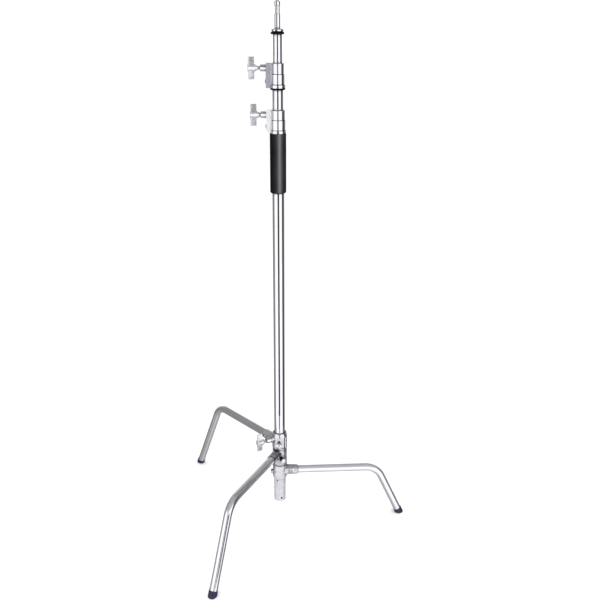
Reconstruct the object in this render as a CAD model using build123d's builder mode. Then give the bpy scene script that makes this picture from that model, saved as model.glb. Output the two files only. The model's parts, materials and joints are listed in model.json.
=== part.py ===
from build123d import *
import os
from collections import namedtuple
from math import asin, cos, radians, sin, tan

# C-stand: a three-section mast with clamp collars on a detachable folding base.
# Millimetres. Z is up, the floor is z = 0 and the mast stands on the Z axis.

# Driving dimensions -------------------------------------------------------------------------

TUBE_WALL = 1.5
COLUMN_R = 17.5
LOWER_RISER_R = 15.0
UPPER_RISER_R = 12.5
LEG_R = 12.5
SPIGOT_R = 7.94
JUNIOR_R = 14.3

SEAT_GAP = 0.05      # between pieces pressed or screwed together
RUN_GAP = 0.08       # running fit of bushes and screws
TURN_GAP = 0.1       # castings on the post, stud in its receiver

# Base, from the floor up
RECEIVER_BOTTOM = 67.0
RECEIVER_FLOOR_TOP = 73.0
RECEIVER_RIM_CHAMFER = 2.0
RECEIVER_R = JUNIOR_R + TURN_GAP
RECEIVER_FOOT_R = 18.9
RECEIVER_NECK_R = 19.8
RECEIVER_NECK_Z = 148.0
CROSS_HOLE_R = 3.5
CROSS_HOLE_Z = 80.5
CROSS_HOLE_AZIMUTH = 288.0
POST_R = 17.0
POST_BOTTOM = 110.0
POST_TOP = 291.5
HUB_R = 23.5
LOW_HUB_FLARE_Z = 158.0
LOW_HUB_TOP = 205.0
WASHER_THICKNESS = 0.9
WASHER_R = 21.0
FACE_GAP = 0.1
MID_HUB_BOTTOM = LOW_HUB_TOP + WASHER_THICKNESS + 2 * FACE_GAP
MID_HUB_TOP = 265.2
TOP_HUB_BOTTOM = MID_HUB_TOP + WASHER_THICKNESS + 2 * FACE_GAP
TOP_HUB_R = 24.5
TOP_HUB_SHOULDER = 311.0
RIM_CHAMFER = 1.0
HUB_CHAMFER = 2.0
TOP_HUB_TOP = 322.0
TOP_HUB_RIM_R = 21.5
BASE_CLAMP_BOSS_R = 10.5
COLUMN_SEAT_Z = 316.0
COLUMN_SEAT_R = COLUMN_R + 0.25

POST_SCREW_AZIMUTH = 190.0
POST_SCREW_Z = 176.0
POST_SCREW_R = 3.0
POST_SCREW_HEAD_R = 5.0
POST_SCREW_HEAD_HEIGHT = 3.2
POST_SCREW_BOSS_R = 7.5
POST_SCREW_REACH = 29.0
POST_PIN_AZIMUTH = 246.0
POST_PIN_Z = 148.0
POST_PIN_R = 2.4
POST_PIN_BORE_R = 1.4
POST_PIN_RECESS = 1.2
SLIT_AZIMUTH = 313.0
SLIT_WIDTH = 3.4
SLIT_DEPTH = 6.0
FLAT_AZIMUTH = 302.0
FLAT_REACH = 22.6
FLAT_WIDTH = 19.0
FLAT_BOTTOM = 270.0
FLAT_TOP = 308.0

# Legs
LEG_SPLAY = 25.0     # slope of the slanted part, from the vertical
LEG_BEND_RADIUS = 60.0
LEG_CORNER_REACH = 321.8
LEG_ROOT_REACH = 24.5
SOCKET_ROOT_REACH = 6.0
LEG_END_Z = 16.0     # where the tube's axis ends, above the floor
FOOT_R = 13.6
FOOT_EDGE = 2.5
FOOT_PLUG_LENGTH = 18.0
RIVET_R = 3.0
RIVET_HEAD_R = 5.2
RIVET_HEAD_HEIGHT = 2.2
RIVET_SEAT_DEPTH = 1.4
RIVET_SEAT_GAP = 0.8

# Azimuths run counter-clockwise from +X, seen from above.
Leg = namedtuple("Leg", "azimuth height socket_root_r socket_tip_r socket_reach rivet_reaches")
LOW_LEG = Leg(2.0, 179.3, 18.3, 15.8, 58.0, (34.0,))
MID_LEG = Leg(243.0, 248.0, 16.2, 15.3, 60.0, (36.0, 50.0))
TOP_LEG = Leg(131.0, 285.3, 17.0, 15.5, 70.0, (42.0, 60.0))

# Leg-stop plungers: a sprung pin whose nose runs in a groove of the post
Plunger = namedtuple("Plunger", "azimuth height")
MID_PLUNGER = Plunger(290.0, 229.0)
TOP_PLUNGER = Plunger(266.0, 286.0)
MID_FOLD = 111.0
TOP_FOLD = -121.0
PLUNGER_PIN_R = 3.0
PLUNGER_NOSE_REACH = 15.4
GROOVE_DEPTH = 1.9
GROOVE_MARGIN = 14.0
PLUNGER_BOSS_R = 8.0
PLUNGER_BOSS_REACH = 28.0
PLUNGER_POCKET_R = 5.5
PLUNGER_POCKET_REACH = 19.8
PLUNGER_COLLAR = 1.5
PLUNGER_BUSH_REACH = 26.0
PLUNGER_KNOB_R = 8.5
PLUNGER_KNOB_REACH = 30.0
PLUNGER_KNOB_LENGTH = 8.0
PLUNGER_FLANGE = 1.2
PLUNGER_KNOB_DOME = 2.5
PLUNGER_KNOB_DEPTH = 5.0     # how far the pin runs into its knob
SPRING_WIRE_R = 0.3
SPRING_TURNS = 3.0

# Clamps: a T-handle screw pushes a brake shoe against the tube or stud inside
# tilt turns the handle about its screw, from upright
Clamp = namedtuple("Clamp", "azimuth height held_r wing_reach tilt")
BASE_CLAMP = Clamp(208.0, 301.0, JUNIOR_R, 64.0, 0.0)
COLUMN_CLAMP = Clamp(180.0, 1329.0, LOWER_RISER_R, 60.0, 14.0)
RISER_CLAMP = Clamp(180.0, 1455.0, UPPER_RISER_R, 64.5, 14.0)
CLAMP_FACE_REACH = 33.0
CLAMP_BUSH_R = 9.25
CLAMP_BUSH_LENGTH = 15.5
SCREW_R = 4.5
SCREW_TIP_R = 3.0
SCREW_TIP_LENGTH = 2.5
SHOE_R = 7.5
SHOE_THICKNESS = 5.0
SHOE_GAP = 0.1
SHOE_POCKET_DEPTH = 9.0
HANDLE_SPAN = 60.0
HANDLE_DEPTH = 16.8
HANDLE_MIDDLE_THICKNESS = 9.5
HANDLE_TIP_THICKNESS = 5.0
HANDLE_HUB_R = 10.0
HANDLE_NECK_LENGTH = 10.5
HANDLE_NECK_R = 5.2
HANDLE_EDGE = 1.2
HANDLE_BORE_DEPTH = 12.0     # how far the screw runs into the wing

# Column
STUD_BOTTOM = 182.0
STUD_FLANGE = 4.0
STUD_PLUG_LENGTH = 52.0
STUD_CHAMFER = 1.5
COLUMN_BOTTOM = COLUMN_SEAT_Z + STUD_FLANGE
COLUMN_TOP = 1308.0
GRIP_R = 23.3
GRIP_BOTTOM = 1107.5
GRIP_TOP = 1278.0
GRIP_EDGE = 4.0

# Collars: outer bands as (outer radius, top of the band), from the bottom up
Collar = namedtuple("Collar", "bottom bands tube_r tube_top bush_top inner_r "
                              "block_width block_bottom block_slope")
COLUMN_COLLAR = Collar(GRIP_TOP, ((22.3, 1288.0), (21.0, 1316.0), (19.75, 1342.0)),
                       COLUMN_R, COLUMN_TOP, 1319.5, LOWER_RISER_R, 22.0, 1281.0, 5.0)
RISER_COLLAR = Collar(1402.0, ((21.0, 1412.0), (18.75, 1440.0), (17.25, 1468.0)),
                      LOWER_RISER_R, 1434.0, 1446.0, UPPER_RISER_R, 20.0, 1402.0, 0.0)
COLLAR_SCREW_R = 3.0
COLLAR_SCREW_HEAD_R = 7.5
COLUMN_COLLAR_SCREW_Z = 1298.0
RISER_COLLAR_SCREW_Z = 1420.0
COLLAR_SCREW_HEAD_HEIGHT = 2.4
COLLAR_LIP = 0.5     # how far the collar's bush bore steps in from its tube bore
BLOCK_EDGE = 2.0
BAND_CHAMFER = 1.2
BAND_GROOVE = 2.0     # height of the turned groove between two bands
BAND_GROOVE_DEPTH = 0.8

# Risers
LOWER_RISER_BOTTOM = 480.0
LOWER_RISER_TOP = RISER_COLLAR.tube_top
UPPER_RISER_BOTTOM = 609.0
UPPER_RISER_TOP = 1549.0
SLIDER_LENGTH = 25.0
SLIDER_FLOOR = 3.0
LOWER_BUMPER_BOTTOM = 1397.0
LOWER_BUMPER_R = 21.0
UPPER_BUMPER_BOTTOM = 1543.0
UPPER_BUMPER_R = 18.5
BUMPER_EDGE = 1.5

# Spigot
FLANGE_R = 16.5
FLANGE_TOP = 1557.0
FLANGE_CHAMFER = 2.2
FLANGE_SLOPE = 1.5
SPIGOT_PLUG_BOTTOM = 1505.0
SPIGOT_ROOT_R = 8.6
SPIGOT_ROOT_RISE = 0.5   # how far the root stands above the flange
SPIGOT_NECK_R = 6.65
SPIGOT_NECK_BOTTOM = 1595.0
SPIGOT_NECK_TOP = 1616.0
SPIGOT_TOP = 1627.0
SPIGOT_BOSS_R = 4.75
SPIGOT_BOSS_HEIGHT = 2.5
SPIGOT_PIN_Z = 1525.0
SPIGOT_PIN_R = 2.0
SPIGOT_PIN_AZIMUTH = 90.0
SPIGOT_PIN_START = 6.0


# Planes and shared shapes -------------------------------------------------------------------

Boss = namedtuple("Boss", "azimuth height radius reach")
Bore = namedtuple("Bore", "radius bottom top")
Drill = namedtuple("Drill", "azimuth height radius start end")


def radial(azimuth):
    """Unit vector pointing away from the mast at an azimuth."""
    return Vector(cos(radians(azimuth)), sin(radians(azimuth)), 0)


def radial_plane(azimuth, height, reach=0.0):
    """Plane across a radius: its normal points outward, its X runs sideways and its Y up."""
    outward = radial(azimuth)
    origin = outward * reach + Vector(0, 0, height)
    return Plane(origin=origin, x_dir=radial(azimuth + 90), z_dir=outward)


def side_plane(azimuth, height=0.0):
    """Upright plane through the mast: its X points outward and its Y up."""
    return Plane(origin=(0, 0, height), x_dir=radial(azimuth), z_dir=radial(azimuth - 90))


def turned(outline):
    """A solid turned about the mast's axis from (radius, height) points."""
    with BuildPart() as piece:
        with BuildSketch(Plane.XZ):
            with BuildLine():
                Polyline(*outline, close=True)
            make_face()
        revolve(axis=Axis.Z)
    return piece


def turned_across(azimuth, height, outline):
    """A solid turned about a radius of the mast, from (reach, distance off the radius) points."""
    with BuildPart() as piece:
        with BuildSketch(side_plane(azimuth, height)):
            with BuildLine():
                Polyline(*outline, close=True)
            make_face()
        revolve(axis=Axis((0, 0, height), radial(azimuth)))
    return piece


def sleeve(outer_r, inner_r, bottom, top):
    """A plain ring or tube about the mast's axis."""
    with BuildPart() as piece:
        with BuildSketch(Plane.XY.offset(bottom)):
            Circle(outer_r)
            Circle(inner_r, mode=Mode.SUBTRACT)
        extrude(amount=top - bottom)
    return piece


def dome(edge_x, edge_r, tip_x):
    """Arc of a dome's outline, from its edge to its tip on the axis of turning."""
    rise = tip_x - edge_x
    dome_r = (edge_r ** 2 + rise ** 2) / (2 * rise)
    half = asin(edge_r / dome_r) / 2
    middle = (tip_x - dome_r + dome_r * cos(half), dome_r * sin(half))
    ThreePointArc((edge_x, edge_r), middle, (tip_x, 0))


def clamp_drills(clamp):
    """Pocket of a clamp's brake shoe, and the screw's hole through the casting or block."""
    pocket_end = clamp.held_r + SHOE_POCKET_DEPTH
    return (
        Drill(clamp.azimuth, clamp.height, SHOE_R + 2 * TURN_GAP, clamp.held_r / 2, pocket_end),
        Drill(clamp.azimuth, clamp.height, SCREW_R + RUN_GAP, pocket_end, CLAMP_FACE_REACH),
    )


# Leg castings -------------------------------------------------------------------------------

def socket_r(leg, reach):
    """Outer radius of a leg socket at a distance from the mast."""
    share = (reach - SOCKET_ROOT_REACH) / (leg.socket_reach - SOCKET_ROOT_REACH)
    return leg.socket_root_r + (leg.socket_tip_r - leg.socket_root_r) * share


def rivet_seat(leg, reach):
    """Distance from the leg's centreline to the flat that a rivet head sits on."""
    return socket_r(leg, reach) - RIVET_SEAT_DEPTH


def rivet_plane(leg, reach, side=1):
    """Upright plane along the leg at a rivet, facing one side of the leg or the other."""
    origin = radial(leg.azimuth) * reach + Vector(0, 0, leg.height)
    return Plane(origin=origin, x_dir=radial(leg.azimuth), z_dir=radial(leg.azimuth + 90 * side))


def leg_casting(leg, outline, bottom_chamfer, top_chamfer, blend, bosses, bores, drills):
    """A hub turned about the post, with a tapered leg socket, bosses, bores and drilled holes."""
    with BuildPart() as casting:
        with BuildSketch(Plane.XZ):
            with BuildLine():
                Polyline(*outline, close=True)
            make_face()
        revolve(axis=Axis.Z)
        chamfer(casting.edges().group_by(Axis.Z)[0], length=bottom_chamfer)
        chamfer(casting.edges().group_by(Axis.Z)[-1], length=top_chamfer)
        with BuildSketch(radial_plane(leg.azimuth, leg.height, SOCKET_ROOT_REACH)):
            Circle(leg.socket_root_r)
        with BuildSketch(radial_plane(leg.azimuth, leg.height, leg.socket_reach)):
            Circle(leg.socket_tip_r)
        loft()
        fillet(casting.edges(Select.NEW), radius=blend)
        for boss in bosses:
            with BuildSketch(radial_plane(boss.azimuth, boss.height)):
                Circle(boss.radius)
            extrude(amount=boss.reach)
        for bore in bores:
            with BuildSketch(Plane.XY.offset(bore.bottom)):
                Circle(bore.radius)
            extrude(amount=bore.top - bore.bottom, mode=Mode.SUBTRACT)
        leg_bore = Drill(leg.azimuth, leg.height, LEG_R + SEAT_GAP, LEG_ROOT_REACH, leg.socket_reach)
        for drill in (leg_bore, *drills):
            with BuildSketch(radial_plane(drill.azimuth, drill.height, drill.start)):
                Circle(drill.radius)
            extrude(amount=drill.end - drill.start, mode=Mode.SUBTRACT)
        for reach in leg.rivet_reaches:
            for side in (1, -1):
                across = rivet_plane(leg, reach, side)
                with BuildSketch(across):
                    Circle(RIVET_R + SEAT_GAP)
                extrude(amount=leg.socket_root_r, mode=Mode.SUBTRACT)
                with BuildSketch(across.offset(rivet_seat(leg, reach))):
                    Circle(RIVET_HEAD_R + RIVET_SEAT_GAP)
                extrude(amount=leg.socket_root_r, mode=Mode.SUBTRACT)
    return casting


def low_leg_casting():
    """Receiver tube, hub and low leg socket in one casting."""
    outline = ((0, RECEIVER_BOTTOM), (RECEIVER_FOOT_R - RECEIVER_RIM_CHAMFER, RECEIVER_BOTTOM),
               (RECEIVER_FOOT_R, RECEIVER_BOTTOM + RECEIVER_RIM_CHAMFER),
               (RECEIVER_NECK_R, RECEIVER_NECK_Z), (HUB_R, LOW_HUB_FLARE_Z),
               (HUB_R, LOW_HUB_TOP), (0, LOW_HUB_TOP))
    bosses = (Boss(POST_SCREW_AZIMUTH, POST_SCREW_Z, POST_SCREW_BOSS_R, POST_SCREW_REACH),)
    bores = (Bore(RECEIVER_R, RECEIVER_FLOOR_TOP, LOW_HUB_TOP),
             Bore(POST_R + SEAT_GAP, POST_BOTTOM, LOW_HUB_TOP))
    head_start = POST_SCREW_REACH - POST_SCREW_HEAD_HEIGHT - RIM_CHAMFER
    drills = (
        Drill(CROSS_HOLE_AZIMUTH, CROSS_HOLE_Z, CROSS_HOLE_R, -HUB_R, HUB_R),
        Drill(POST_SCREW_AZIMUTH, POST_SCREW_Z, POST_SCREW_R + SEAT_GAP, POST_R, POST_SCREW_REACH),
        Drill(POST_SCREW_AZIMUTH, POST_SCREW_Z, POST_SCREW_HEAD_R + RUN_GAP, head_start, POST_SCREW_REACH),
        Drill(POST_PIN_AZIMUTH, POST_PIN_Z, POST_PIN_R + SEAT_GAP, RECEIVER_R, HUB_R),
    )
    return leg_casting(LOW_LEG, outline, RIM_CHAMFER, HUB_CHAMFER, 2.5, bosses, bores, drills)


def plunger_drills(plunger):
    """Nose guide and spring pocket of a leg-stop plunger."""
    return (
        Drill(plunger.azimuth, plunger.height, PLUNGER_PIN_R + RUN_GAP, RECEIVER_R, PLUNGER_POCKET_REACH),
        Drill(plunger.azimuth, plunger.height, PLUNGER_POCKET_R, PLUNGER_POCKET_REACH, PLUNGER_BOSS_REACH),
    )


def mid_leg_casting():
    """Middle casting: turns on the post between two thrust washers."""
    outline = ((0, MID_HUB_BOTTOM), (HUB_R, MID_HUB_BOTTOM), (HUB_R, MID_HUB_TOP), (0, MID_HUB_TOP))
    bosses = (Boss(*MID_PLUNGER, PLUNGER_BOSS_R, PLUNGER_BOSS_REACH),)
    bores = (Bore(POST_R + TURN_GAP, MID_HUB_BOTTOM, MID_HUB_TOP),)
    return leg_casting(MID_LEG, outline, HUB_CHAMFER, RIM_CHAMFER, 0.8,
                       bosses, bores, plunger_drills(MID_PLUNGER))


def top_leg_casting():
    """Top casting: turns on the post, and holds and clamps the column's stud above it."""
    outline = ((0, TOP_HUB_BOTTOM), (TOP_HUB_R, TOP_HUB_BOTTOM), (TOP_HUB_R, TOP_HUB_SHOULDER),
               (TOP_HUB_RIM_R, TOP_HUB_TOP), (0, TOP_HUB_TOP))
    bosses = (Boss(*TOP_PLUNGER, PLUNGER_BOSS_R, PLUNGER_BOSS_REACH),
              Boss(BASE_CLAMP.azimuth, BASE_CLAMP.height, BASE_CLAMP_BOSS_R, CLAMP_FACE_REACH))
    bores = (Bore(RECEIVER_R, TOP_HUB_BOTTOM, TOP_HUB_TOP),
             Bore(POST_R + TURN_GAP, TOP_HUB_BOTTOM, POST_TOP + TURN_GAP),
             Bore(COLUMN_SEAT_R, COLUMN_SEAT_Z, TOP_HUB_TOP))
    drills = (*plunger_drills(TOP_PLUNGER), *clamp_drills(BASE_CLAMP))
    casting = leg_casting(TOP_LEG, outline, RIM_CHAMFER, RIM_CHAMFER, 1.8, bosses, bores, drills)
    with casting:
        with BuildSketch(radial_plane(FLAT_AZIMUTH, (FLAT_BOTTOM + FLAT_TOP) / 2, FLAT_REACH)) as flat:
            Rectangle(FLAT_WIDTH, FLAT_TOP - FLAT_BOTTOM)
        extrude(flat.sketch, amount=TOP_HUB_R - FLAT_REACH, mode=Mode.SUBTRACT)
        with BuildSketch(radial_plane(SLIT_AZIMUTH, TOP_HUB_BOTTOM, TOP_HUB_R - SLIT_DEPTH)) as slit:
            Rectangle(SLIT_WIDTH, 2 * TOP_HUB_TOP)
        extrude(slit.sketch, amount=2 * SLIT_DEPTH, mode=Mode.SUBTRACT)
    return casting


# Post, washers and the fasteners of the base --------------------------------------------------

def centre_post():
    """Steel tube that the castings turn on, with a stop groove for each plunger's nose."""
    with BuildPart() as post:
        with BuildSketch(Plane.XY.offset(POST_BOTTOM)):
            Circle(POST_R)
            Circle(RECEIVER_R, mode=Mode.SUBTRACT)
        extrude(amount=POST_TOP - POST_BOTTOM)
        for plunger, fold in ((MID_PLUNGER, MID_FOLD), (TOP_PLUNGER, TOP_FOLD)):
            start = plunger.azimuth + min(fold, 0) - GROOVE_MARGIN
            groove = side_plane(start)
            with BuildSketch(groove):
                with Locations((POST_R, plunger.height)):
                    Rectangle(2 * GROOVE_DEPTH, 2 * (PLUNGER_PIN_R + TURN_GAP))
            revolve(axis=Axis.Z, revolution_arc=abs(fold) + 2 * GROOVE_MARGIN, mode=Mode.SUBTRACT)
        with BuildSketch(radial_plane(POST_PIN_AZIMUTH, POST_PIN_Z)):
            Circle(POST_PIN_R + SEAT_GAP)
        extrude(amount=HUB_R, mode=Mode.SUBTRACT)
    return post


def post_lock_screw():
    """Socket screw in the low casting's boss, tight against the post."""
    head_start = POST_SCREW_REACH - POST_SCREW_HEAD_HEIGHT - RIM_CHAMFER
    head_end = head_start + POST_SCREW_HEAD_HEIGHT
    with BuildPart() as screw:
        with BuildSketch(radial_plane(POST_SCREW_AZIMUTH, POST_SCREW_Z, POST_R + 2 * SEAT_GAP)):
            Circle(POST_SCREW_R)
        extrude(amount=head_start - POST_R)
        with BuildSketch(radial_plane(POST_SCREW_AZIMUTH, POST_SCREW_Z, head_start)):
            Circle(POST_SCREW_HEAD_R)
        extrude(amount=POST_SCREW_HEAD_HEIGHT)
        with BuildSketch(radial_plane(POST_SCREW_AZIMUTH, POST_SCREW_Z, head_end)):
            RegularPolygon(radius=POST_SCREW_R, side_count=6)
        extrude(amount=-POST_SCREW_HEAD_HEIGHT / 2, mode=Mode.SUBTRACT)
    return screw


def post_roll_pin():
    """Short hollow pin through the receiver's wall and the post's."""
    start = RECEIVER_R + 2 * SEAT_GAP
    end = RECEIVER_NECK_R - POST_PIN_RECESS
    outline = ((start, POST_PIN_BORE_R), (start, POST_PIN_R), (end, POST_PIN_R), (end, POST_PIN_BORE_R))
    return turned_across(POST_PIN_AZIMUTH, POST_PIN_Z, outline)


def thrust_washer(bottom):
    return sleeve(WASHER_R, POST_R + TURN_GAP, bottom, bottom + WASHER_THICKNESS)


# Legs -----------------------------------------------------------------------------------------

def leg_end_plane(leg):
    """Plane across the end of a leg's tube, facing down along it."""
    slope = radians(LEG_SPLAY)
    reach = LEG_CORNER_REACH + (leg.height - LEG_END_Z) * tan(slope)
    downward = radial(leg.azimuth) * sin(slope) - Vector(0, 0, cos(slope))
    origin = radial(leg.azimuth) * reach + Vector(0, 0, LEG_END_Z)
    return Plane(origin=origin, x_dir=radial(leg.azimuth + 90), z_dir=downward)


def leg_tube(leg):
    """Bent tube: level from its socket, then down and outward to the foot."""
    corner = (LEG_CORNER_REACH, leg.height)
    end = (LEG_CORNER_REACH + (leg.height - LEG_END_Z) * tan(radians(LEG_SPLAY)), LEG_END_Z)
    with BuildPart() as tube:
        with BuildLine(side_plane(leg.azimuth)):
            FilletPolyline((LEG_ROOT_REACH, leg.height), corner, end, radius=LEG_BEND_RADIUS)
        with BuildSketch(radial_plane(leg.azimuth, leg.height, LEG_ROOT_REACH)):
            Circle(LEG_R)
            Circle(LEG_R - TUBE_WALL, mode=Mode.SUBTRACT)
        sweep()
        for reach in leg.rivet_reaches:
            with BuildSketch(rivet_plane(leg, reach)):
                Circle(RIVET_R + SEAT_GAP)
            extrude(amount=2 * LEG_R, both=True, mode=Mode.SUBTRACT)
    return tube


def leg_foot(leg):
    """Plastic plug in the leg's end, cut level with the floor."""
    end = leg_end_plane(leg)
    with BuildPart() as foot:
        with BuildSketch(end):
            Circle(FOOT_R)
        extrude(amount=4 * LEG_END_Z)
        split(bisect_by=Plane.XY, keep=Keep.TOP)
        fillet(foot.edges().group_by(Axis.Z)[0], radius=FOOT_EDGE)
        with BuildSketch(end):
            Circle(LEG_R - TUBE_WALL - SEAT_GAP)
        extrude(amount=-FOOT_PLUG_LENGTH)
    return foot


def leg_rivets(leg):
    """Domed rivets across the socket and the tube's end."""
    with BuildPart() as rivets:
        for reach in leg.rivet_reaches:
            seat = rivet_seat(leg, reach)
            across = radial_plane(leg.azimuth, leg.height, reach)
            head = seat + RIVET_HEAD_HEIGHT
            step = seat + RIVET_HEAD_HEIGHT / 3
            half = ((seat, RIVET_R), (seat, RIVET_HEAD_R), (step, 0.93 * RIVET_HEAD_R),
                    (head, 0.55 * RIVET_HEAD_R), (head, 0))
            other_half = [(-x, y) for x, y in reversed(half)]
            with BuildSketch(across):
                with BuildLine():
                    Polyline(*half, *other_half, close=True)
                make_face()
            revolve(axis=Axis(across.origin, across.x_dir))
    return rivets


# Leg-stop plungers ----------------------------------------------------------------------------

def plunger_pin(plunger):
    """Pin with a collar that the spring pushes on."""
    collar_start = PLUNGER_POCKET_REACH + 2 * TURN_GAP
    collar_end = collar_start + PLUNGER_COLLAR
    collar_r = PLUNGER_POCKET_R - 3 * TURN_GAP
    end = PLUNGER_KNOB_REACH + PLUNGER_KNOB_DEPTH
    nose_r = 0.75 * PLUNGER_PIN_R
    outline = ((PLUNGER_NOSE_REACH, 0), (PLUNGER_NOSE_REACH, nose_r),
               (PLUNGER_NOSE_REACH + PLUNGER_PIN_R - nose_r, PLUNGER_PIN_R),
               (collar_start, PLUNGER_PIN_R), (collar_start, collar_r), (collar_end, collar_r),
               (collar_end, PLUNGER_PIN_R), (end, PLUNGER_PIN_R), (end, 0))
    return turned_across(plunger.azimuth, plunger.height, outline)


def plunger_spring(plunger):
    """Coil spring between the pin's collar and the bush."""
    start = PLUNGER_POCKET_REACH + 2 * TURN_GAP + PLUNGER_COLLAR + SPRING_WIRE_R + SEAT_GAP
    length = PLUNGER_BUSH_REACH - SPRING_WIRE_R - SEAT_GAP - start
    coil_r = (PLUNGER_POCKET_R + PLUNGER_PIN_R) / 2
    with BuildPart() as spring:
        with BuildLine() as coil:
            Helix(pitch=length / SPRING_TURNS, height=length, radius=coil_r,
                  center=radial(plunger.azimuth) * start + Vector(0, 0, plunger.height),
                  direction=radial(plunger.azimuth))
        with BuildSketch(Plane(origin=coil.line @ 0, z_dir=coil.line % 0)):
            Circle(SPRING_WIRE_R)
        sweep()
    return spring


def plunger_bush(plunger):
    """Flanged bush that closes the spring pocket and guides the pin."""
    bore = PLUNGER_PIN_R + RUN_GAP
    body_r = PLUNGER_POCKET_R - SEAT_GAP
    flange_start = PLUNGER_BOSS_REACH + SEAT_GAP
    flange_end = flange_start + PLUNGER_FLANGE
    outline = ((PLUNGER_BUSH_REACH, bore), (PLUNGER_BUSH_REACH, body_r), (flange_start, body_r),
               (flange_start, PLUNGER_BOSS_R), (flange_end, PLUNGER_BOSS_R - SEAT_GAP * 8),
               (flange_end, bore))
    return turned_across(plunger.azimuth, plunger.height, outline)


def plunger_knob(plunger):
    """Round pull knob with a domed end."""
    start = PLUNGER_KNOB_REACH
    end = start + PLUNGER_KNOB_LENGTH
    bore_end = start + PLUNGER_KNOB_DEPTH + SEAT_GAP
    bore = PLUNGER_PIN_R + SEAT_GAP
    with BuildPart() as knob:
        with BuildSketch(side_plane(plunger.azimuth, plunger.height)):
            with BuildLine():
                Polyline((end, 0), (bore_end, 0), (bore_end, bore), (start, bore),
                         (start, PLUNGER_KNOB_R - RIM_CHAMFER), (start + RIM_CHAMFER, PLUNGER_KNOB_R),
                         (end - PLUNGER_KNOB_DOME, PLUNGER_KNOB_R))
                dome(end - PLUNGER_KNOB_DOME, PLUNGER_KNOB_R, end)
            make_face()
        revolve(axis=Axis((0, 0, plunger.height), radial(plunger.azimuth)))
    return knob


# Clamps ---------------------------------------------------------------------------------------

def shoe_back(clamp):
    """Reach of a brake shoe's flat back, where the screw's shoulder pushes."""
    return clamp.held_r + SHOE_GAP + SHOE_THICKNESS


def clamp_bush(clamp):
    """Threaded barrel on the clamp's face that carries the screw."""
    bore = SCREW_R + RUN_GAP
    start = CLAMP_FACE_REACH + SEAT_GAP
    end = start + CLAMP_BUSH_LENGTH
    outline = ((start, bore), (start, CLAMP_BUSH_R), (end - RIM_CHAMFER, CLAMP_BUSH_R),
               (end, CLAMP_BUSH_R - RIM_CHAMFER), (end, bore))
    return turned_across(clamp.azimuth, clamp.height, outline)


def brake_shoe(clamp):
    """Round shoe, hollowed to the tube it presses on, with a socket for the screw's tip."""
    back = shoe_back(clamp)
    with BuildPart() as shoe:
        with BuildSketch(radial_plane(clamp.azimuth, clamp.height)):
            Circle(SHOE_R)
        extrude(amount=back)
        with BuildSketch(Plane.XY.offset(clamp.height)):
            Circle(clamp.held_r + SHOE_GAP)
        extrude(amount=2 * SHOE_R, both=True, mode=Mode.SUBTRACT)
        with BuildSketch(radial_plane(clamp.azimuth, clamp.height, back)):
            Circle(SCREW_TIP_R + TURN_GAP)
        extrude(amount=-SCREW_TIP_LENGTH, mode=Mode.SUBTRACT)
    return shoe


def clamp_screw(clamp):
    """Screw from the brake shoe to the T-handle's hub."""
    shoulder = shoe_back(clamp) + SEAT_GAP
    tip = shoulder - SCREW_TIP_LENGTH + SEAT_GAP
    end = clamp.wing_reach + HANDLE_BORE_DEPTH - SEAT_GAP
    outline = ((tip, 0), (tip, 0.85 * SCREW_TIP_R), (tip + 0.15 * SCREW_TIP_R, SCREW_TIP_R),
               (shoulder, SCREW_TIP_R), (shoulder, SCREW_R), (end, SCREW_R), (end, 0))
    return turned_across(clamp.azimuth, clamp.height, outline)


def t_handle(clamp):
    """Cast T-handle: a tapered wing bar on a round hub with a tapered neck."""
    middle = HANDLE_MIDDLE_THICKNESS / 2
    tip = HANDLE_TIP_THICKNESS / 2
    half = HANDLE_SPAN / 2
    neck = clamp.wing_reach - HANDLE_NECK_LENGTH
    end = clamp.wing_reach + HANDLE_DEPTH
    axis = Axis((0, 0, clamp.height), radial(clamp.azimuth))
    with BuildPart() as handle:
        across = radial_plane(clamp.azimuth, clamp.height, clamp.wing_reach)
        with BuildSketch(across.rotated((0, 0, clamp.tilt))):
            with BuildLine():
                Polyline((middle, 0), (tip, half), (-tip, half), (-middle, 0), (-tip, -half),
                         (tip, -half), close=True)
            make_face()
        extrude(amount=HANDLE_DEPTH)
        fillet(handle.edges(), radius=HANDLE_EDGE)
        with BuildSketch(side_plane(clamp.azimuth, clamp.height)):
            with BuildLine():
                Polyline((neck, 0), (neck, HANDLE_NECK_R), (clamp.wing_reach - RIM_CHAMFER, HANDLE_HUB_R),
                         (end, HANDLE_HUB_R), (end + RIM_CHAMFER, HANDLE_HUB_R - RIM_CHAMFER),
                         (end + RIM_CHAMFER, 0), close=True)
            make_face()
        revolve(axis=axis)
        with BuildSketch(radial_plane(clamp.azimuth, clamp.height, neck)):
            Circle(SCREW_R + SEAT_GAP)
        extrude(amount=HANDLE_NECK_LENGTH + HANDLE_BORE_DEPTH, mode=Mode.SUBTRACT)
    return handle


# Collars --------------------------------------------------------------------------------------

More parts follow.
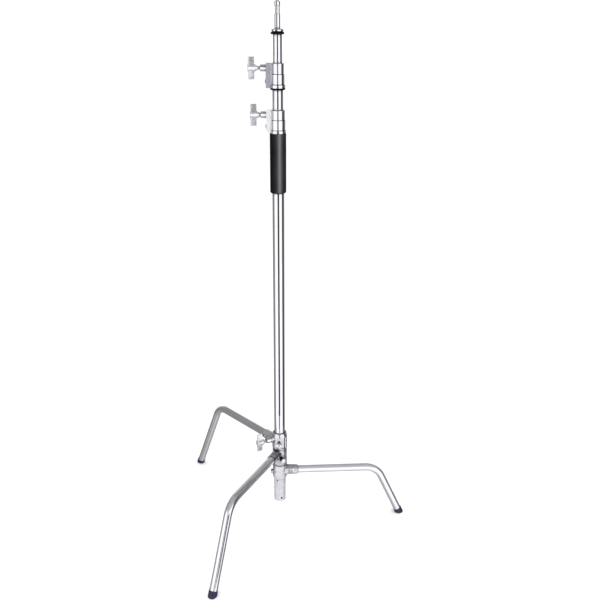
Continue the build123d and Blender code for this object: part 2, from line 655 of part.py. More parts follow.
def collar(spec, clamp, screw_height):
    """Stepped sleeve with a clamp block: it grips the tube below and guides the riser."""
    top = spec.bands[-1][1]
    (low_r, low_top), (mid_r, mid_top), (high_r, _) = spec.bands
    low_groove_r = mid_r - BAND_GROOVE_DEPTH
    high_groove_r = high_r - BAND_GROOVE_DEPTH
    outline = ((0, spec.bottom), (low_r, spec.bottom),
               (low_r, low_top - BAND_GROOVE), (low_groove_r, low_top - BAND_GROOVE),
               (low_groove_r, low_top), (mid_r, low_top), (mid_r, mid_top - BAND_GROOVE),
               (high_groove_r, mid_top - BAND_GROOVE), (high_groove_r, mid_top), (high_r, mid_top),
               (high_r, top - BAND_CHAMFER), (high_r - BAND_CHAMFER, top), (0, top))
    cuts = (
        (spec.tube_r + SEAT_GAP, spec.bottom, spec.tube_top),
        (spec.tube_r - COLLAR_LIP, spec.tube_top, spec.bush_top),
        (spec.inner_r + 2 * TURN_GAP, spec.bush_top, top),
    )
    hole_r = COLLAR_SCREW_R + SEAT_GAP
    screw_hole = Drill(clamp.azimuth, screw_height, hole_r, spec.tube_r, CLAMP_FACE_REACH)
    with BuildPart() as piece:
        with BuildSketch(Plane.XZ):
            with BuildLine():
                Polyline(*outline, close=True)
            make_face()
        revolve(axis=Axis.Z)
        with BuildSketch(radial_plane(clamp.azimuth, (spec.block_bottom + top) / 2)):
            Rectangle(spec.block_width, top - spec.block_bottom)
        extrude(amount=CLAMP_FACE_REACH)
        face_edges = piece.faces().sort_by(Axis.X)[0].edges()
        if spec.block_slope:
            chamfer(face_edges.sort_by(Axis.Z)[0], length=spec.block_slope)
        fillet(piece.faces().sort_by(Axis.X)[0].edges().filter_by(Axis.Z), radius=BLOCK_EDGE)
        for radius, bottom, cut_top in cuts:
            with BuildSketch(Plane.XY.offset(bottom)):
                Circle(radius)
            extrude(amount=cut_top - bottom, mode=Mode.SUBTRACT)
        for drill in (*clamp_drills(clamp), screw_hole):
            with BuildSketch(radial_plane(drill.azimuth, drill.height, drill.start)):
                Circle(drill.radius)
            extrude(amount=drill.end - drill.start, mode=Mode.SUBTRACT)
    return piece


def collar_screw(spec, clamp, height):
    """Domed screw that holds the collar on its tube."""
    start = spec.tube_r + 2 * SEAT_GAP
    seat = CLAMP_FACE_REACH + SEAT_GAP
    with BuildPart() as screw:
        with BuildSketch(side_plane(clamp.azimuth, height)):
            with BuildLine():
                Polyline((seat + COLLAR_SCREW_HEAD_HEIGHT, 0), (start, 0), (start, COLLAR_SCREW_R),
                         (seat, COLLAR_SCREW_R), (seat, COLLAR_SCREW_HEAD_R))
                dome(seat, COLLAR_SCREW_HEAD_R, seat + COLLAR_SCREW_HEAD_HEIGHT)
            make_face()
        revolve(axis=Axis((0, 0, height), radial(clamp.azimuth)))
    return screw


def guide_bush(spec):
    """Nylon bush inside a collar, on the end of its tube."""
    return sleeve(spec.tube_r - COLLAR_LIP - SEAT_GAP, spec.inner_r + RUN_GAP,
                  spec.tube_top + SEAT_GAP, spec.bush_top - SEAT_GAP)


# Column ---------------------------------------------------------------------------------------

def junior_stud():
    """Solid stud: plugs into the base, with a flange and a plug for the column tube."""
    plug_r = COLUMN_R - TUBE_WALL - SEAT_GAP
    flange_bottom = COLUMN_SEAT_Z + SEAT_GAP
    plug_top = COLUMN_BOTTOM + STUD_PLUG_LENGTH
    return turned(((0, STUD_BOTTOM), (JUNIOR_R - STUD_CHAMFER, STUD_BOTTOM),
                   (JUNIOR_R, STUD_BOTTOM + STUD_CHAMFER), (JUNIOR_R, flange_bottom),
                   (COLUMN_R, flange_bottom), (COLUMN_R, COLUMN_BOTTOM),
                   (plug_r, COLUMN_BOTTOM), (plug_r, plug_top), (0, plug_top)))


def column_tube():
    return sleeve(COLUMN_R, COLUMN_R - TUBE_WALL, COLUMN_BOTTOM, COLUMN_TOP)


def grip_sleeve():
    """Soft grip around the top of the column."""
    grip = sleeve(GRIP_R, COLUMN_R + SEAT_GAP, GRIP_BOTTOM, GRIP_TOP)
    with grip:
        low_edges = grip.edges().group_by(Axis.Z)[0]
        fillet(low_edges.sort_by(SortBy.RADIUS)[-1], radius=GRIP_EDGE)
    return grip


# Risers ---------------------------------------------------------------------------------------

def bottom_slider(tube_r, outside_r, bottom):
    """Cup-shaped slider on the bottom end of a riser."""
    return turned(((tube_r - TUBE_WALL, bottom - SLIDER_FLOOR), (outside_r, bottom - SLIDER_FLOOR),
                   (outside_r, bottom + SLIDER_LENGTH), (tube_r + SEAT_GAP / 2, bottom + SLIDER_LENGTH),
                   (tube_r + SEAT_GAP / 2, bottom), (tube_r - TUBE_WALL, bottom)))


def bumper(tube_r, outer_r, bottom, top):
    """Rubber ring with rounded edges."""
    ring = sleeve(outer_r, tube_r + SEAT_GAP, bottom, top)
    with ring:
        outer_edges = ring.edges().filter_by(GeomType.CIRCLE).group_by(SortBy.RADIUS)[-1]
        fillet(outer_edges, radius=BUMPER_EDGE)
    return ring


def upper_riser_tube():
    tube = sleeve(UPPER_RISER_R, UPPER_RISER_R - TUBE_WALL, UPPER_RISER_BOTTOM, UPPER_RISER_TOP)
    with tube:
        with BuildSketch(radial_plane(SPIGOT_PIN_AZIMUTH, SPIGOT_PIN_Z)) as hole:
            Circle(SPIGOT_PIN_R + SEAT_GAP)
        extrude(hole.sketch, amount=2 * UPPER_RISER_R, mode=Mode.SUBTRACT)
    return tube


def top_flange():
    """Dished cap ring that the spigot stands in."""
    bore = SPIGOT_ROOT_R + SEAT_GAP
    return turned(((bore, UPPER_RISER_TOP), (FLANGE_R - FLANGE_CHAMFER, UPPER_RISER_TOP),
                   (FLANGE_R, UPPER_RISER_TOP + FLANGE_CHAMFER), (FLANGE_R, FLANGE_TOP - FLANGE_CHAMFER),
                   (FLANGE_R - FLANGE_SLOPE, FLANGE_TOP - SPIGOT_ROOT_RISE),
                   (bore + FLANGE_SLOPE, FLANGE_TOP), (bore, FLANGE_TOP)))


def spigot():
    """Stud with a turned neck, and a plug that fits the upper riser's tube."""
    plug_r = UPPER_RISER_R - TUBE_WALL - SEAT_GAP
    plug_top = UPPER_RISER_TOP - SEAT_GAP
    root_top = FLANGE_TOP + SPIGOT_ROOT_RISE
    neck_slope = SPIGOT_R - SPIGOT_NECK_R
    boss_top = SPIGOT_TOP + SPIGOT_BOSS_HEIGHT
    outline = ((0, SPIGOT_PLUG_BOTTOM), (plug_r, SPIGOT_PLUG_BOTTOM), (plug_r, plug_top),
               (SPIGOT_ROOT_R, plug_top), (SPIGOT_ROOT_R, root_top), (SPIGOT_R, root_top + RIM_CHAMFER),
               (SPIGOT_R, SPIGOT_NECK_BOTTOM - neck_slope), (SPIGOT_NECK_R, SPIGOT_NECK_BOTTOM),
               (SPIGOT_NECK_R, SPIGOT_NECK_TOP - neck_slope), (SPIGOT_R, SPIGOT_NECK_TOP),
               (SPIGOT_R, SPIGOT_TOP - RIM_CHAMFER), (SPIGOT_R - RIM_CHAMFER, SPIGOT_TOP),
               (SPIGOT_BOSS_R, SPIGOT_TOP), (SPIGOT_BOSS_R, boss_top - RIM_CHAMFER),
               (SPIGOT_BOSS_R - RIM_CHAMFER, boss_top), (0, boss_top))
    stud = turned(outline)
    with stud:
        hole_plane = radial_plane(SPIGOT_PIN_AZIMUTH, SPIGOT_PIN_Z, SPIGOT_PIN_START - SEAT_GAP)
        with BuildSketch(hole_plane) as hole:
            Circle(SPIGOT_PIN_R + SEAT_GAP)
        extrude(hole.sketch, amount=UPPER_RISER_R, mode=Mode.SUBTRACT)
    return stud


def spigot_pin():
    """Pin through the tube's wall into the spigot's plug."""
    end = UPPER_RISER_R - 4 * SEAT_GAP
    outline = ((SPIGOT_PIN_START, 0), (SPIGOT_PIN_START, SPIGOT_PIN_R), (end, SPIGOT_PIN_R), (end, 0))
    return turned_across(SPIGOT_PIN_AZIMUTH, SPIGOT_PIN_Z, outline)


# Every piece, by its node's name ----------------------------------------------------------------

column_bore_r = COLUMN_R - TUBE_WALL - RUN_GAP
lower_bore_r = LOWER_RISER_R - TUBE_WALL - RUN_GAP

pieces = {
    "low_leg_casting": low_leg_casting(),
    "centre_post": centre_post(),
    "low_leg_tube": leg_tube(LOW_LEG),
    "low_leg_foot": leg_foot(LOW_LEG),
    "low_leg_rivet": leg_rivets(LOW_LEG),
    "post_lock_screw": post_lock_screw(),
    "post_roll_pin": post_roll_pin(),
    "lower_thrust_washer": thrust_washer(LOW_HUB_TOP + FACE_GAP),
    "mid_leg_casting": mid_leg_casting(),
    "mid_leg_tube": leg_tube(MID_LEG),
    "mid_leg_foot": leg_foot(MID_LEG),
    "mid_leg_rivets": leg_rivets(MID_LEG),
    "upper_thrust_washer": thrust_washer(MID_HUB_TOP + FACE_GAP),
    "mid_plunger_pin": plunger_pin(MID_PLUNGER),
    "mid_plunger_spring": plunger_spring(MID_PLUNGER),
    "mid_plunger_bush": plunger_bush(MID_PLUNGER),
    "mid_plunger_knob": plunger_knob(MID_PLUNGER),
    "top_leg_casting": top_leg_casting(),
    "top_leg_tube": leg_tube(TOP_LEG),
    "top_leg_foot": leg_foot(TOP_LEG),
    "top_leg_rivets": leg_rivets(TOP_LEG),
    "top_plunger_pin": plunger_pin(TOP_PLUNGER),
    "top_plunger_spring": plunger_spring(TOP_PLUNGER),
    "top_plunger_bush": plunger_bush(TOP_PLUNGER),
    "top_plunger_knob": plunger_knob(TOP_PLUNGER),
    "junior_stud": junior_stud(),
    "column_tube": column_tube(),
    "grip_sleeve": grip_sleeve(),
    "column_collar": collar(COLUMN_COLLAR, COLUMN_CLAMP, COLUMN_COLLAR_SCREW_Z),
    "column_collar_screw": collar_screw(COLUMN_COLLAR, COLUMN_CLAMP, COLUMN_COLLAR_SCREW_Z),
    "column_guide_bush": guide_bush(COLUMN_COLLAR),
    "lower_riser_tube": sleeve(LOWER_RISER_R, LOWER_RISER_R - TUBE_WALL,
                               LOWER_RISER_BOTTOM, LOWER_RISER_TOP),
    "lower_riser_slider": bottom_slider(LOWER_RISER_R, column_bore_r, LOWER_RISER_BOTTOM),
    "lower_riser_bumper": bumper(LOWER_RISER_R, LOWER_BUMPER_R, LOWER_BUMPER_BOTTOM, RISER_COLLAR.bottom),
    "riser_collar": collar(RISER_COLLAR, RISER_CLAMP, RISER_COLLAR_SCREW_Z),
    "riser_collar_screw": collar_screw(RISER_COLLAR, RISER_CLAMP, RISER_COLLAR_SCREW_Z),
    "riser_guide_bush": guide_bush(RISER_COLLAR),
    "upper_riser_tube": upper_riser_tube(),
    "upper_riser_slider": bottom_slider(UPPER_RISER_R, lower_bore_r, UPPER_RISER_BOTTOM),
    "upper_riser_bumper": bumper(UPPER_RISER_R, UPPER_BUMPER_R, UPPER_BUMPER_BOTTOM, UPPER_RISER_TOP),
    "top_flange": top_flange(),
    "spigot": spigot(),
    "spigot_pin": spigot_pin(),
}
for place, clamp in (("base", BASE_CLAMP), ("column", COLUMN_CLAMP), ("riser", RISER_CLAMP)):
    pieces[f"{place}_clamp_bush"] = clamp_bush(clamp)
    pieces[f"{place}_brake_shoe"] = brake_shoe(clamp)
    pieces[f"{place}_clamp_screw"] = clamp_screw(clamp)
    pieces[f"{place}_t_handle"] = t_handle(clamp)

os.makedirs("parts", exist_ok=True)
for node, piece in pieces.items():
    piece.part.label = node
    export_step(piece.part, f"parts/{node}.step")
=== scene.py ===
import json
from math import cos, radians, sin

import bpy
from mathutils import Matrix, Vector

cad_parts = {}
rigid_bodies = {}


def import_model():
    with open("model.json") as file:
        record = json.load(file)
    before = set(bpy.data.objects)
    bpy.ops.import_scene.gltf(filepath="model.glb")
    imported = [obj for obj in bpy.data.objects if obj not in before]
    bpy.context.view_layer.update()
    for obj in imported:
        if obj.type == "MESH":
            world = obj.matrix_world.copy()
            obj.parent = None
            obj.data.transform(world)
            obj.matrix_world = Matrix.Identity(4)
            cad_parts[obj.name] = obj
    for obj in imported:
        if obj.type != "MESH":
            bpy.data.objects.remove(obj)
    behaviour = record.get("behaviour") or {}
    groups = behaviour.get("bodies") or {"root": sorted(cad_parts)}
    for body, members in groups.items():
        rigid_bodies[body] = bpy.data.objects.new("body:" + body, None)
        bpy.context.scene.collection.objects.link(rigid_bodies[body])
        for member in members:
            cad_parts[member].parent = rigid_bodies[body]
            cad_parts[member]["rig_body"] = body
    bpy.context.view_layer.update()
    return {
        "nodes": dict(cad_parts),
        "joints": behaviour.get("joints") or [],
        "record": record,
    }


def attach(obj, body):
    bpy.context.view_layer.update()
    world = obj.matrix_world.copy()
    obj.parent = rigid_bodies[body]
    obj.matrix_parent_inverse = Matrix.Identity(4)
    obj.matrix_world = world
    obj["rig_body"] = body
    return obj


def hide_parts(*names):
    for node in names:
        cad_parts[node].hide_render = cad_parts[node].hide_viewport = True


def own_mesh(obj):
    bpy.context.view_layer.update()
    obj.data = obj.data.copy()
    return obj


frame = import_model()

# Camera -------------------------------------------------------------------------------------

CAMERA_PLACE = Vector((0.0, -2.256, 1.608))
CAMERA_DOWN = radians(20.25)
CAMERA_TURN = radians(1.633)
CAMERA_ROLL = radians(0.25)
CAMERA_LENS = 47.38         # mm, on a sensor 36 mm wide
CAMERA_SENSOR = 36.0
CAMERA_FAR_LIMIT = 60.0


def make_camera():
    """Camera at eye height, looking down at the stand."""
    ahead = Vector((sin(CAMERA_TURN), cos(CAMERA_TURN), 0.0))
    forward = ahead * cos(CAMERA_DOWN) - Vector((0.0, 0.0, sin(CAMERA_DOWN)))
    level = Vector((cos(CAMERA_TURN), -sin(CAMERA_TURN), 0.0))
    upright = level.cross(forward)
    right = level * cos(CAMERA_ROLL) + upright * sin(CAMERA_ROLL)
    up = upright * cos(CAMERA_ROLL) - level * sin(CAMERA_ROLL)
    data = bpy.data.cameras.new("camera")
    data.lens = CAMERA_LENS
    data.sensor_width = CAMERA_SENSOR
    data.clip_end = CAMERA_FAR_LIMIT
    camera = bpy.data.objects.new("camera", data)
    camera.matrix_world = Matrix((right, up, -forward)).transposed().to_4x4()
    camera.location = CAMERA_PLACE
    bpy.context.scene.collection.objects.link(camera)
    bpy.context.scene.camera = camera


make_camera()

# Node helpers -------------------------------------------------------------------------------

# Painted shade: tones darken near other parts, as ambient occlusion reads them
NARROW_GAP_SHADE = 0.009        # how far from a corner the painted shade reaches, in metres
WIDE_GAP_SHADE = 0.018
GAP_SHADE_TONE = (0.02, 0.02, 0.022)
GAP_SHADE_FADE = (0.50, 0.92)   # share of open sky at which the painted shade covers all, and none


class Nodes:
    """Builds one material's node tree around a Principled shader."""

    def __init__(self, name):
        self.material = bpy.data.materials.new(name)
        self.material.use_nodes = True
        self.tree = self.material.node_tree
        self.shader = self.tree.nodes["Principled BSDF"]
        self.place = self.add("ShaderNodeTexCoord").outputs["Object"]

    def add(self, kind, **values):
        node = self.tree.nodes.new(kind)
        for key, value in values.items():
            setattr(node, key, value)
        return node

    def link(self, source, target):
        self.tree.links.new(source, target)

    def set(self, **values):
        for key, value in values.items():
            self.shader.inputs[key.replace("_", " ")].default_value = value

    def mapped(self, scale=(1, 1, 1)):
        node = self.add("ShaderNodeMapping")
        node.inputs["Scale"].default_value = scale
        self.link(self.place, node.inputs["Vector"])
        return node.outputs["Vector"]

    def noise(self, scale, detail=2.0, stretch=(1, 1, 1), roughness=0.5):
        node = self.add("ShaderNodeTexNoise")
        node.inputs["Scale"].default_value = scale
        node.inputs["Detail"].default_value = detail
        node.inputs["Roughness"].default_value = roughness
        self.link(self.mapped(stretch), node.inputs["Vector"])
        return node.outputs["Fac"]

    def span(self, source, low, high, from_low=0.3, from_high=0.7):
        node = self.add("ShaderNodeMapRange")
        node.inputs["From Min"].default_value = from_low
        node.inputs["From Max"].default_value = from_high
        node.inputs["To Min"].default_value = low
        node.inputs["To Max"].default_value = high
        self.link(source, node.inputs["Value"])
        return node.outputs["Result"]

    def plug(self, value, socket):
        if hasattr(value, "links"):
            self.link(value, socket)
        elif isinstance(value, tuple):
            socket.default_value = (*value, 1.0)
        else:
            socket.default_value = value

    def mix(self, kind, share, a, b):
        node = self.add("ShaderNodeMix", data_type=kind)
        sockets = [socket for socket in node.inputs if socket.enabled]
        for value, socket in zip((share, a, b), sockets):
            self.plug(value, socket)
        return [socket for socket in node.outputs if socket.enabled][0]

    def mix_colors(self, share, a, b):
        return self.mix("RGBA", share, a, b)

    def mix_values(self, share, a, b):
        return self.mix("FLOAT", share, a, b)

    def tones(self, source, dark, light):
        self.link(self.mix_colors(source, dark, light), self.shader.inputs["Base Color"])

    def gap_shaded(self, tone, reach=NARROW_GAP_SHADE):
        """Paints shade into a tone: darkens it in narrow gaps and round fasteners, where nearby parts
        hide the open sky.
        """
        open_share = self.add("ShaderNodeAmbientOcclusion", samples=8)
        open_share.inputs["Distance"].default_value = reach
        clear = self.span(open_share.outputs["AO"], 0.0, 1.0, *GAP_SHADE_FADE)
        self.link(self.mix_colors(clear, GAP_SHADE_TONE, tone), self.shader.inputs["Base Color"])

    def sum(self, a, b):
        node = self.add("ShaderNodeMath", operation="ADD")
        self.plug(a, node.inputs[0])
        self.plug(b, node.inputs[1])
        return node.outputs[0]

    def sum_into(self, target, a, b):
        self.link(self.sum(a, b), self.shader.inputs[target])

    def below(self, axis, height, blur=0.0004):
        """1 where the surface lies below a height along an axis, and 0 above it."""
        parts = self.add("ShaderNodeSeparateXYZ")
        self.link(self.place, parts.inputs[0])
        return self.span(parts.outputs[axis], 1.0, 0.0, height - blur, height + blur)

    def inside(self, radius, blur=0.0004):
        """1 where the surface lies closer to the mast's axis than a radius, and 0 outside it."""
        length = self.add("ShaderNodeVectorMath", operation="LENGTH")
        self.link(self.mapped((1, 1, 0)), length.inputs[0])
        return self.span(length.outputs["Value"], 1.0, 0.0, radius - blur, radius + blur)

    def cast_bump(self, grain, grain_size, lumps):
        """Fine grain on broad lumps, each with its height in metres."""
        fine = self.span(self.noise(grain_size, 4.0, roughness=0.6), 0.0, grain, 0.0, 1.0)
        broad = self.span(self.noise(LUMP_SCALE, 2.0), 0.0, lumps, 0.0, 1.0)
        self.bump(self.sum(fine, broad))

    def bump(self, height):
        """height is in metres."""
        node = self.add("ShaderNodeBump")
        node.inputs["Distance"].default_value = 1.0
        node.inputs["Strength"].default_value = 1.0
        self.link(height, node.inputs["Height"])
        self.link(node.outputs["Normal"], self.shader.inputs["Normal"])


# Finishes: a pair of tones is what a slow smudge noise wanders between ------------------------

TUBE_TONES = (0.80, 0.79, 0.84), (0.88, 0.87, 0.92)
LEG_TUBE_TONES = (0.80, 0.79, 0.84), (0.88, 0.87, 0.93)
CAST_TONES = (0.66, 0.65, 0.70), (0.80, 0.79, 0.84)
# painted shade: a darker copy of the cast tones, for the front leg's casting
SHADED_CAST_TONES = (0.46, 0.45, 0.49), (0.62, 0.61, 0.66)
COLLAR_TONES = (0.78, 0.77, 0.82), (0.86, 0.85, 0.90)
GREY_BLOCK_TONES = (0.40, 0.40, 0.46), (0.50, 0.50, 0.56)
PALE_BLOCK_TONES = (0.74, 0.74, 0.78), (0.88, 0.88, 0.90)
HANDLE_TONES = (0.74, 0.73, 0.78), (0.86, 0.85, 0.89)
STEEL_TONES = (0.50, 0.50, 0.52), (0.62, 0.62, 0.64)
SPRING_TONES = (0.40, 0.40, 0.42), (0.52, 0.52, 0.54)
BRASS_TONES = (0.60, 0.44, 0.18), (0.74, 0.56, 0.26)
NYLON_TONES = (0.72, 0.70, 0.64), (0.82, 0.80, 0.75)
RUBBER_TONES = (0.003, 0.003, 0.003), (0.006, 0.006, 0.006)
FOAM_TONES = (0.0003, 0.0003, 0.0004), (0.0006, 0.0006, 0.0007)
FOOT_TONES = (0.012, 0.012, 0.042), (0.022, 0.022, 0.070)
# painted shade for the inside of the receiver's bore
BORE_SHADE_TONE = (0.03, 0.03, 0.03)

SMUDGE_SCALE = 14.0         # noise scales, in cycles to the metre
LINE_SCALE = 60.0
LUMP_SCALE = 140.0
MOULD_GRAIN = 0.0001        # m high
EVEN = (1, 1, 1)            # polishing lines that run no special way
ALONG = (40, 40, 1)         # lines along the mast
AROUND = (1, 1, 40)         # lines that turning leaves round it
TUBE_ROUGHNESS = 0.05
SATIN_ROUGHNESS = 0.14
CAST_GRAIN = dict(grain=0.0001, grain_size=900.0)

BLOCK_EDGE_X = -0.0185      # a collar's clamp block lies left of this
SATIN_HEIGHT = 0.172        # the receiver's satin finish lies below this
SATIN_BLUR = 0.010
BORE_WALL_R = 0.0165


def polished(name, tones, rough, lines_run, grain=0.0, grain_size=900.0, lumps=0.0, metal=1.0,
             reach=NARROW_GAP_SHADE):
    """Bright plated metal with fine polishing lines, faint smudges and optional cast grain."""
    n = Nodes(name)
    n.set(Metallic=metal)
    smudge = n.noise(SMUDGE_SCALE, 3.0)
    # painted shade darkens the tone in gaps and round fasteners
    n.gap_shaded(n.mix_colors(n.span(smudge, 0.0, 1.0), *tones), reach)
    lines = n.noise(LINE_SCALE, 3.0, stretch=lines_run)
    n.sum_into("Roughness", n.span(smudge, 0.0, rough * 0.5), n.span(lines, rough * 0.6, rough * 1.2))
    if grain:
        n.cast_bump(grain, grain_size, lumps)
    return n.material


def collar_finish(name, block_metal, block_tones):
    """Turned and polished sleeve, with a satin cast clamp block on its side."""
    n = Nodes(name)
    block = n.below(0, BLOCK_EDGE_X)
    metal_tone = n.mix_colors(n.span(n.noise(SMUDGE_SCALE, 3.0), 0.0, 1.0), *COLLAR_TONES)
    block_tone = n.mix_colors(n.span(n.noise(220.0, 4.0), 0.0, 1.0), *block_tones)
    # painted shade darkens the tone in gaps and round fasteners
    n.gap_shaded(n.mix_colors(block, metal_tone, block_tone))
    n.link(n.span(block, 1.0, block_metal, 0.0, 1.0), n.shader.inputs["Metallic"])
    lines = n.span(n.noise(LINE_SCALE, 3.0, stretch=AROUND), 0.09, 0.18)
    satin = n.span(n.noise(500.0, 3.0), 0.38, 0.52)
    n.link(n.mix_values(block, lines, satin), n.shader.inputs["Roughness"])
    n.bump(n.mix_values(block, 0.0, n.span(n.noise(700.0, 4.0, roughness=0.6), 0.0, 0.0006, 0.0, 1.0)))
    return n.material


def receiver_finish(name):
    """Low casting: bright and lumpy at the hub, satin with a fine grain down the receiver."""
    n = Nodes(name)
    low = n.below(2, SATIN_HEIGHT, SATIN_BLUR)
    n.link(n.span(low, 1.0, 0.55, 0.0, 1.0), n.shader.inputs["Metallic"])
    plated = n.mix_colors(n.span(n.noise(90.0, 4.0), 0.0, 1.0), *CAST_TONES)
    # painted shade darkens the tone in gaps and round fasteners
    # painted shade: the inside of the bore is painted near black
    n.gap_shaded(n.mix_colors(n.inside(BORE_WALL_R), plated, BORE_SHADE_TONE))
    bright = n.span(n.noise(LINE_SCALE, 3.0), 0.08, 0.16)
    satin = n.span(n.noise(300.0, 3.0), 0.38, 0.55)
    n.link(n.mix_values(low, bright, satin), n.shader.inputs["Roughness"])
    n.cast_bump(0.0004, 800.0, 0.0010)
    return n.material


def moulded(name, tones, rough, grain_size, gloss):
    """Plastic, rubber or foam with a fine moulded grain."""
    n = Nodes(name)
    n.set(Specular_IOR_Level=gloss)
    speck = n.noise(grain_size, 4.0, roughness=0.6)
    n.tones(n.span(n.noise(25.0, 3.0), 0.0, 1.0), *tones)
    n.link(n.span(speck, rough - 0.08, rough + 0.08), n.shader.inputs["Roughness"])
    n.bump(n.span(speck, 0.0, MOULD_GRAIN, 0.0, 1.0))
    return n.material


materials = {
    "chrome_tube": polished("tube_chrome", TUBE_TONES, TUBE_ROUGHNESS, ALONG),
    "cast_metal": polished("cast_chrome", CAST_TONES, TUBE_ROUGHNESS, EVEN, **CAST_GRAIN, lumps=0.0008,
                           metal=0.88, reach=WIDE_GAP_SHADE),
    "collar_chrome": polished("collar_chrome", COLLAR_TONES, SATIN_ROUGHNESS, AROUND),
    "handle_chrome": polished("handle_chrome", HANDLE_TONES, SATIN_ROUGHNESS, (8, 8, 8), grain=0.0002,
                              grain_size=600.0, lumps=0.0006, metal=0.7, reach=WIDE_GAP_SHADE),
    "plain_steel": polished("plain_steel", STEEL_TONES, 0.25, (1, 1, 30)),
    "spring_steel": polished("spring_steel", SPRING_TONES, 0.25, (10, 10, 10)),
    "brass": polished("brass", BRASS_TONES, 0.22, (20, 20, 1)),
    "nylon": moulded("nylon", NYLON_TONES, 0.45, 600.0, 0.5),
    "black_rubber": moulded("black_rubber", RUBBER_TONES, 0.5, 900.0, 0.04),
    "grip_foam": moulded("grip_foam", FOAM_TONES, 0.5, 1200.0, 0.025),
    "foot_plastic": moulded("foot_plastic", FOOT_TONES, 0.35, 700.0, 0.4),
}
# pieces whose finish differs from the rest of their material slot; the mid leg casting's darker tones
# are painted shade
special = {
    # painted shade and reflection: darker tones stand in for the dark reflections round the front leg's
    # socket
    "mid_leg_casting": polished("mid_cast_shaded_chrome", SHADED_CAST_TONES, TUBE_ROUGHNESS, EVEN, **CAST_GRAIN,
                                lumps=0.0010, reach=WIDE_GAP_SHADE),
    "low_leg_casting": receiver_finish("receiver_chrome"),
    "low_leg_tube": polished("low_tube_chrome", LEG_TUBE_TONES, 0.06, ALONG, metal=0.86),
    "mid_leg_tube": polished("mid_tube_chrome", LEG_TUBE_TONES, TUBE_ROUGHNESS, ALONG, metal=0.90),
    "riser_collar": collar_finish("riser_collar_chrome", 0.80, GREY_BLOCK_TONES),
    "column_collar": collar_finish("column_collar_chrome", 0.30, PALE_BLOCK_TONES),
}

slots = {row["node"]: row["material_slot"] for row in frame["record"]["subparts"]}
for node, thing in frame["nodes"].items():
    thing.data.materials.clear()
    thing.data.materials.append(special.get(node, materials[slots[node]]))
    for face in thing.data.polygons:
        face.material_index = 0

# Plunger springs, each copied onto its body in place of the hidden original ------------------------

for joint in frame["joints"]:
    for row in joint.get("deforming_nodes", ()):
        node = frame["nodes"][row["node"]]
        coil = bpy.data.objects.new(row["node"] + "_coil", node.data.copy())
        bpy.context.scene.collection.objects.link(coil)
        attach(coil, node["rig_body"])
        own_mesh(coil)
        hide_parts(row["node"])

# Floor, light and the studio that the chrome reflects -----------------------------------------

FLOOR_HALF = 30.0


def staged(name, corners, material):
    """A flat sheet of studio gear, which isn't part of the stand."""
    mesh = bpy.data.meshes.new(name)
    mesh.from_pydata(corners, [], [(0, 1, 2, 3)])
    mesh.materials.append(material)
    sheet = bpy.data.objects.new(name, mesh)
    bpy.context.scene.collection.objects.link(sheet)
    return sheet


def floor_paper():
    """White studio paper."""
    n = Nodes("floor_paper")
    n.set(Roughness=0.9, Specular_IOR_Level=0.1)
    n.tones(n.noise(3.0, 2.0), (0.93, 0.93, 0.93), (0.95, 0.95, 0.95))
    return n.material


def flag_cloth():
    """Black cloth that bounces next to no light."""
    n = Nodes("flag_cloth")
    n.set(Roughness=1.0, Specular_IOR_Level=0.0)
    n.tones(n.noise(60.0, 2.0), (0.050, 0.050, 0.053), (0.070, 0.070, 0.074))
    return n.material


floor_corners = [(FLOOR_HALF * x, FLOOR_HALF * y, 0) for x, y in ((-1, -1), (1, -1), (1, 1), (-1, 1))]
floor = staged("floor", floor_corners, floor_paper())
floor.visible_glossy = False


def flag(name, y, across, upright, material):
    """Upright black cloth in front of the stand, seen only in the chrome."""
    (left, right), (low, high) = across, upright
    sheet = staged(name, [(left, y, low), (right, y, low), (right, y, high), (left, y, high)], material)
    sheet.visible_camera = False
    sheet.visible_shadow = False
    sheet.visible_diffuse = False


cloth = flag_cloth()
FLAG_Y = -0.12              # in front of the mast
TUBE_SPAN = (-0.033, 0.033)
COLLAR_SPAN = (-0.018, 0.018)
for name, y, across, upright in (
    ("column_flag", FLAG_Y, TUBE_SPAN, (0.33, 1.270)),
    ("column_collar_flag", FLAG_Y, COLLAR_SPAN, (1.270, 1.333)),
    ("lower_riser_flag", FLAG_Y, TUBE_SPAN, (1.333, 1.395)),
    ("riser_collar_flag", FLAG_Y, COLLAR_SPAN, (1.395, 1.462)),
    ("upper_riser_flag", FLAG_Y, (-0.036, 0.030), (1.462, 1.545)),
    ("spigot_flag", FLAG_Y, (-0.110, -0.004), (1.545, 1.66)),
    ("raised_flag", FLAG_Y, TUBE_SPAN, (1.66, 2.95)),
    ("hub_flag", FLAG_Y, (-0.004, 0.020), (0.25, 0.33)),
    ("base_flag", -0.6, (-0.10, 0.10), (0.0, 0.3)),
    ("leg_flag", -0.8, (-0.235, -0.105), (0.0, 0.5)),
):
    flag(name, y, across, upright, cloth)


def area_light(name, place, aim, size, power, glossy):
    """Rectangular light aimed at a point. Only a glossy one shows in the chrome."""
    data = bpy.data.lights.new(name, "AREA")
    data.shape = "RECTANGLE"
    data.size, data.size_y = size
    data.energy = power
    light = bpy.data.objects.new(name, data)
    light.location = place
    light.rotation_mode = "QUATERNION"
    light.rotation_quaternion = (Vector(aim) - Vector(place)).to_track_quat("-Z", "Y")
    light.visible_glossy = glossy
    bpy.context.scene.collection.objects.link(light)
    return light


MAST_MIDDLE = (0, 0, 0.8)
GRIP_MIDDLE = (0, 0, 1.1)
OVERHEAD_POWER = 60         # W
STRIP_POWER = 1800

area_light("overhead", (0, 0, 4.5), MAST_MIDDLE, (3.5, 3.5), OVERHEAD_POWER, False)
# the strip lights the grip sleeve alone, for the soft line down it
strip = area_light("grip_strip", (0.75, -2.0, 1.1), GRIP_MIDDLE, (0.40, 2.2), STRIP_POWER, True)
strip_lit = bpy.data.collections.new("strip_lit")
strip_lit.objects.link(frame["nodes"]["grip_sleeve"])
strip.light_linking.receiver_collection = strip_lit

bpy.context.scene.view_settings.view_transform = "Standard"

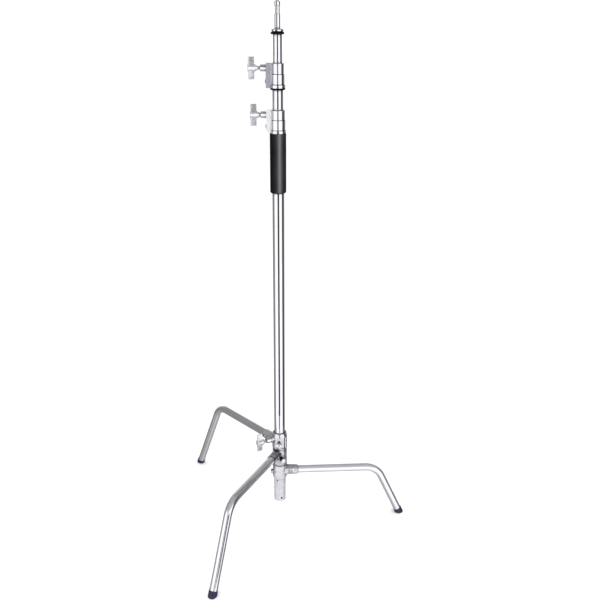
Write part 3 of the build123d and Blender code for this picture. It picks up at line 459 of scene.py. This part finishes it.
# The studio as brightness by direction: degrees from the front round the stand, then degrees up.
# The two sides' walls differ.
LEFT_WALL = ((0, 1.25), (68, 1.25), (86, 0.30), (125, 0.22), (150, 0.55), (180, 0.60))
RIGHT_WALL = ((0, 1.25), (64, 1.25), (78, 0.05), (102, 0.04), (120, 0.22), (150, 0.40), (180, 0.60))
UPPER_WALL = ((0, 0.50), (60, 0.45), (80, 0.32), (150, 0.28), (180, 0.20))
GROUND = ((-180, 0.42), (-35, 0.38), (-5, 0.75), (25, 0.75), (45, 0.42), (180, 0.42))
CEILING = 0.37
UPPER_WALL_STARTS = ((-90, 0), (24, 0), (38, 1), (90, 1))
CEILING_STARTS = ((-90, 0), (60, 0), (72, 1), (90, 1))
GROUND_ENDS = ((-90, 1), (-46, 1), (-33, 0), (90, 0))
PLAIN_SKY = 1.12            # for all light that isn't reflected in the chrome
CURVE_TOP = 2.0             # a curve node's values are kept within 0 and 1 by dividing by this

world = bpy.data.worlds.new("studio")
bpy.context.scene.world = world
world.use_nodes = True
tree = world.node_tree
tree.nodes.clear()


def world_node(kind, **values):
    node = tree.nodes.new(kind)
    for key, value in values.items():
        setattr(node, key, value)
    return node


def plug(value, socket):
    if hasattr(value, "links"):
        tree.links.new(value, socket)
    else:
        socket.default_value = value


def calc(operation, a, b=0.0):
    node = world_node("ShaderNodeMath", operation=operation)
    plug(a, node.inputs[0])
    plug(b, node.inputs[1])
    return node.outputs[0]


def curve(source, *stops):
    """Brightness along an angle in degrees, through (angle, brightness) stops."""
    node = world_node("ShaderNodeFloatCurve")
    low, high = stops[0][0], stops[-1][0]
    points = node.mapping.curves[0].points
    for k, (angle, value) in enumerate(stops):
        place = ((angle - low) / (high - low), value / CURVE_TOP)
        if k == 0:
            points[0].location = place
        elif k == len(stops) - 1:
            points[-1].location = place
        else:
            points.new(*place)
    for point in points:
        point.handle_type = "VECTOR"
    node.mapping.update()
    share = calc("DIVIDE", calc("SUBTRACT", source, low), high - low)
    tree.links.new(share, node.inputs["Value"])
    return calc("MULTIPLY", node.outputs[0], CURVE_TOP)


def mixed(share, a, b):
    """a where share is 0, b where it is 1."""
    node = world_node("ShaderNodeMix", data_type="FLOAT")
    plug(share, node.inputs["Factor"])
    plug(a, node.inputs["A"])
    plug(b, node.inputs["B"])
    return node.outputs["Result"]


towards = world_node("ShaderNodeSeparateXYZ")
tree.links.new(world_node("ShaderNodeTexCoord").outputs["Generated"], towards.inputs[0])
east, north, rise = towards.outputs
turn = calc("DEGREES", calc("ARCTAN2", east, calc("MULTIPLY", north, -1.0)))
turn_off = calc("ABSOLUTE", turn)
lift = calc("DEGREES", calc("ARCSINE", rise))

wall = mixed(calc("GREATER_THAN", turn, 0.0), curve(turn_off, *LEFT_WALL), curve(turn_off, *RIGHT_WALL))
walls = mixed(curve(lift, *UPPER_WALL_STARTS), wall, curve(turn_off, *UPPER_WALL))
roofed = mixed(curve(lift, *CEILING_STARTS), walls, CEILING)
around = mixed(curve(lift, *GROUND_ENDS), roofed, curve(turn, *GROUND))

path = world_node("ShaderNodeLightPath")
light = mixed(path.outputs["Is Glossy Ray"], PLAIN_SKY, around)
background = world_node("ShaderNodeBackground")
tree.links.new(light, background.inputs["Strength"])
background.inputs["Color"].default_value = (1.0, 1.0, 1.0, 1.0)
tree.links.new(background.outputs[0], world_node("ShaderNodeOutputWorld").inputs["Surface"])
